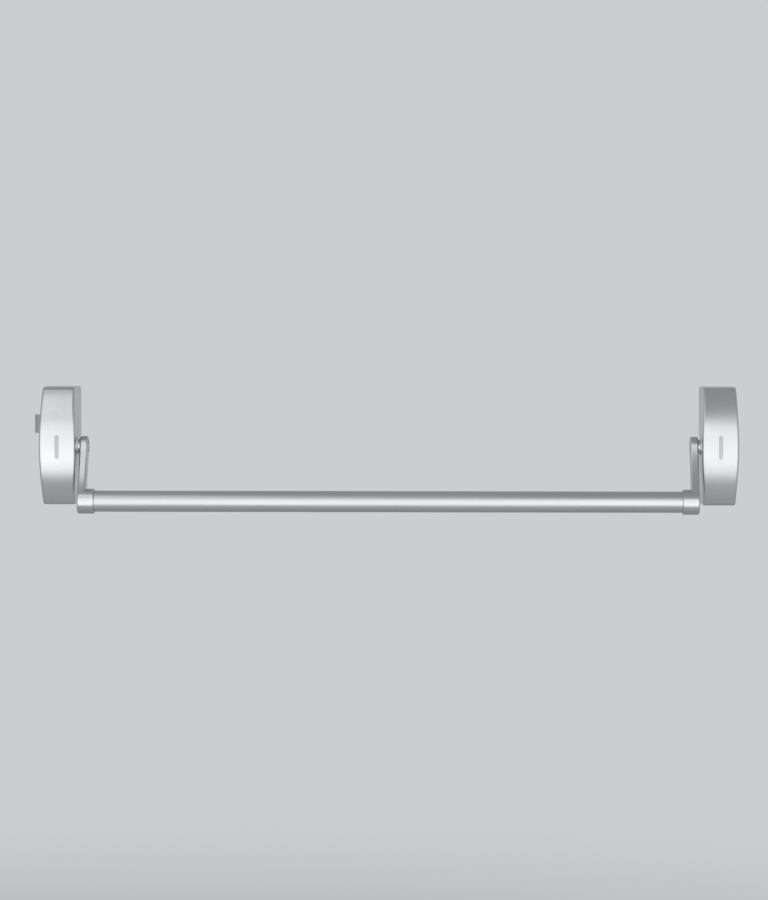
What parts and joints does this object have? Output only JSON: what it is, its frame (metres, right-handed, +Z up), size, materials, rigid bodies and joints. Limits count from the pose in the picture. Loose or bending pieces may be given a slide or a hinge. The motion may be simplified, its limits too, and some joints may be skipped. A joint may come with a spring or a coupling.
{
  "type": "panic exit bar",
  "caption": "Surface-mounted panic exit device: a round push bar on pivoting lever arms between slim bow-fronted housings, drawing back a side latch when pressed.",
  "frame": {"origin": "centre of the latch-side housing's back face, on the door's face, at the height of the pivot axis", "axes": "+X along the bar towards the hinge side, +Y into the door, +Z up"},
  "size_m": [0.804, 0.082, 0.1423],
  "materials": {
    "inlay_grey": "brushed and dark anodised",
    "satin_silver": "satin silver lacquer on die-cast alloy",
    "arm_silver": "satin silver lacquer on die-cast alloy",
    "bar_silver": "drawn and satin anodised",
    "zinc_plate": "zinc plated, dull",
    "cast_zinc": "plain die casting",
    "turned_steel": "turned, bright",
    "hardened_steel": "hardened, oil dark",
    "spring_steel": "drawn wire, bright",
    "bright_screw": "bright zinc",
    "black_steel": "black oxide",
    "latch_nickel": "satin nickel plate",
    "white_nylon": "moulded, dull",
    "black_rubber": "moulded, dull",
    "black_plastic": "moulded, dull"
  },
  "bodies": {
    "housings": {"base_latch_side": "zinc_plate", "cover_latch_side": "satin_silver", "inlay_latch_side": "inlay_grey", "cover_screw_top_latch_side": "bright_screw", "cover_screw_bottom_latch_side": "bright_screw", "outer_bush_latch_side": "white_nylon", "inner_bush_latch_side": "white_nylon", "return_spring_latch_side": "spring_steel", "stop_buffer_latch_side": "black_rubber", "base_hinge_side": "zinc_plate", "cover_hinge_side": "satin_silver", "inlay_hinge_side": "inlay_grey", "cover_screw_top_hinge_side": "bright_screw", "cover_screw_bottom_hinge_side": "bright_screw", "outer_bush_hinge_side": "white_nylon", "inner_bush_hinge_side": "white_nylon", "return_spring_hinge_side": "spring_steel", "stop_buffer_hinge_side": "black_rubber", "latch_guide": "cast_zinc", "guide_screw_outer": "bright_screw", "guide_screw_inner": "bright_screw", "latch_spring": "spring_steel"},
    "push_bar": {"shaft_latch_side": "turned_steel", "shaft_clip_latch_side": "spring_steel", "inner_sleeve_latch_side": "turned_steel", "outer_sleeve_latch_side": "turned_steel", "arm_spacer_latch_side": "turned_steel", "cam_latch_side": "hardened_steel", "arm_latch_side": "arm_silver", "arm_washer_latch_side": "bright_screw", "arm_screw_latch_side": "bright_screw", "set_screw_latch_side": "black_steel", "bar_plug_latch_side": "black_plastic", "shaft_hinge_side": "turned_steel", "shaft_clip_hinge_side": "spring_steel", "inner_sleeve_hinge_side": "turned_steel", "outer_sleeve_hinge_side": "turned_steel", "arm_spacer_hinge_side": "turned_steel", "cam_hinge_side": "hardened_steel", "arm_hinge_side": "arm_silver", "arm_washer_hinge_side": "bright_screw", "arm_screw_hinge_side": "bright_screw", "set_screw_hinge_side": "black_steel", "bar_plug_hinge_side": "black_plastic", "bar": "bar_silver"},
    "lifter": {"lifter_plate": "zinc_plate"},
    "latch": {"latch_bolt": "latch_nickel", "latch_pin": "turned_steel", "latch_roller": "hardened_steel"}
  },
  "joints": [
    {"name": "bar_swing", "type": "hinge", "parent": "housings", "child": "push_bar", "pos_m": [0, -0.038, 0], "axis": [1, 0, 0], "range_deg": [0, 25], "stiffness_Nm_per_rad": 0.9, "springref_deg": -25.78, "deforming": ["return_spring_latch_side", "return_spring_hinge_side"]},
    {"name": "lifter_slide", "type": "slide", "parent": "housings", "child": "lifter", "axis": [0, 0, 1], "range_m": [0, 0.01322]},
    {"name": "latch_slide", "type": "slide", "parent": "housings", "child": "latch", "axis": [1, 0, 0], "range_m": [0, 0.01052], "deforming": ["latch_spring"]}
  ],
  "couplings": [
    {"joint": "lifter_slide", "follows": "bar_swing", "m_per_rad": 0.030259},
    {"joint": "latch_slide", "follows": "bar_swing", "m_per_rad": 0.024064}
  ]
}
